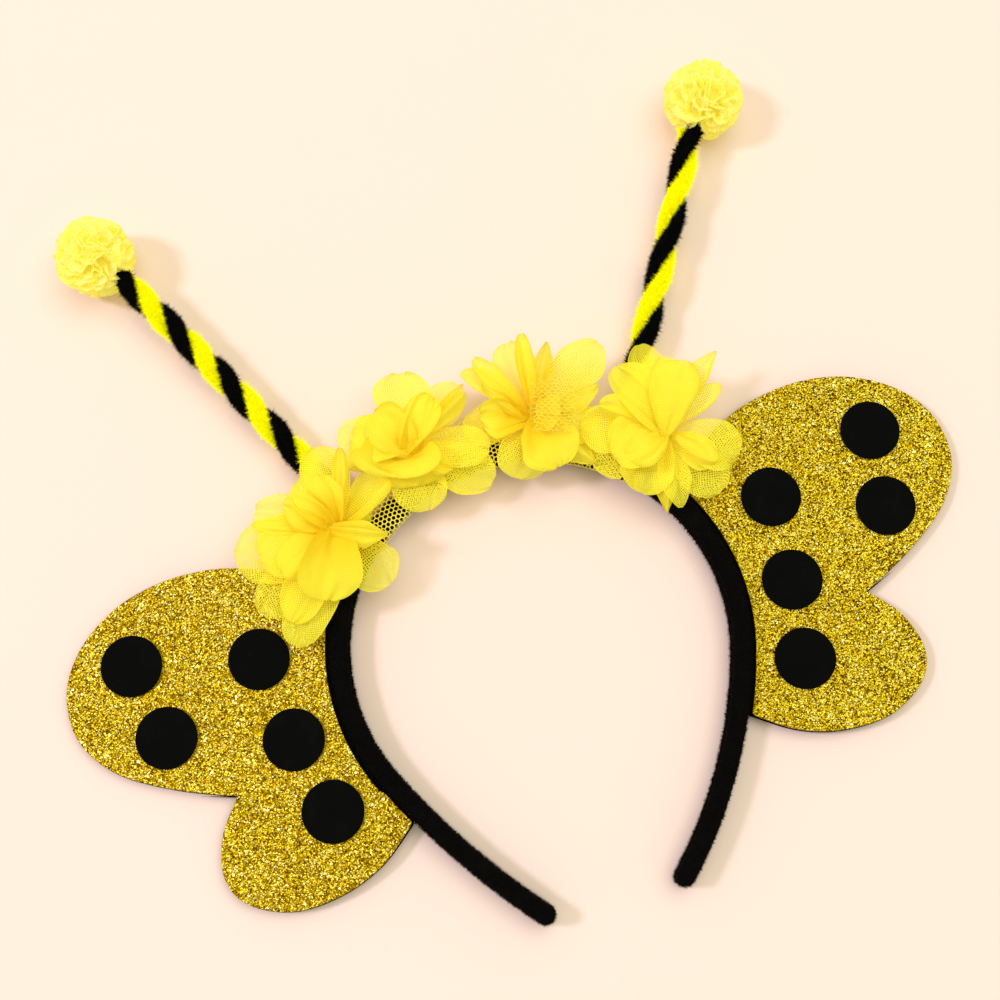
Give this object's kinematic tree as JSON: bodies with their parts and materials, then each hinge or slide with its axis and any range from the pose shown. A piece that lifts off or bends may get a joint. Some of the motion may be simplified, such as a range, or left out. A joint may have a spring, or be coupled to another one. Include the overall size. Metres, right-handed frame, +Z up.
{
  "type": "bee antenna headband",
  "caption": "Velvet-covered headband with spotted glitter wings, twisted antennae ending in tulle pompoms, and chiffon flowers on a net ribbon over the crown.",
  "frame": {"origin": "middle of the bounding box in plan, on the floor that the headband lies on", "axes": "+X towards the wing on the right, +Y towards the antennae, +Z up from the floor"},
  "size_m": [0.2712, 0.2382, 0.0325],
  "materials": {
    "velvet": "black velvet pile",
    "black_felt": "matt black felt",
    "gold_glitter": "gold glitter on a foam sheet",
    "black_chenille": "black chenille pile on wire",
    "yellow_chenille": "bright yellow chenille pile on wire",
    "pompom_tulle": "ruffled pale yellow tulle",
    "yellow_net": "coarse pale yellow net",
    "chiffon": "sheer yellow chiffon"
  },
  "bodies": {
    "root": {"band": "velvet", "wing_left_backing": "black_felt", "wing_left_glitter": "gold_glitter", "wing_right_backing": "black_felt", "wing_right_glitter": "gold_glitter", "spot_left_1": "black_felt", "spot_left_2": "black_felt", "spot_left_3": "black_felt", "spot_left_4": "black_felt", "spot_left_5": "black_felt", "spot_right_1": "black_felt", "spot_right_2": "black_felt", "spot_right_3": "black_felt", "spot_right_4": "black_felt", "spot_right_5": "black_felt", "antenna_left_black": "black_chenille", "antenna_left_yellow": "yellow_chenille", "antenna_right_black": "black_chenille", "antenna_right_yellow": "yellow_chenille", "pompom_left": "pompom_tulle", "pompom_right": "pompom_tulle", "net_ribbon": "yellow_net", "net_fold": "yellow_net", "flower_1": "chiffon", "flower_2": "chiffon", "flower_3": "chiffon", "flower_4": "chiffon"}
  },
  "joints": []
}
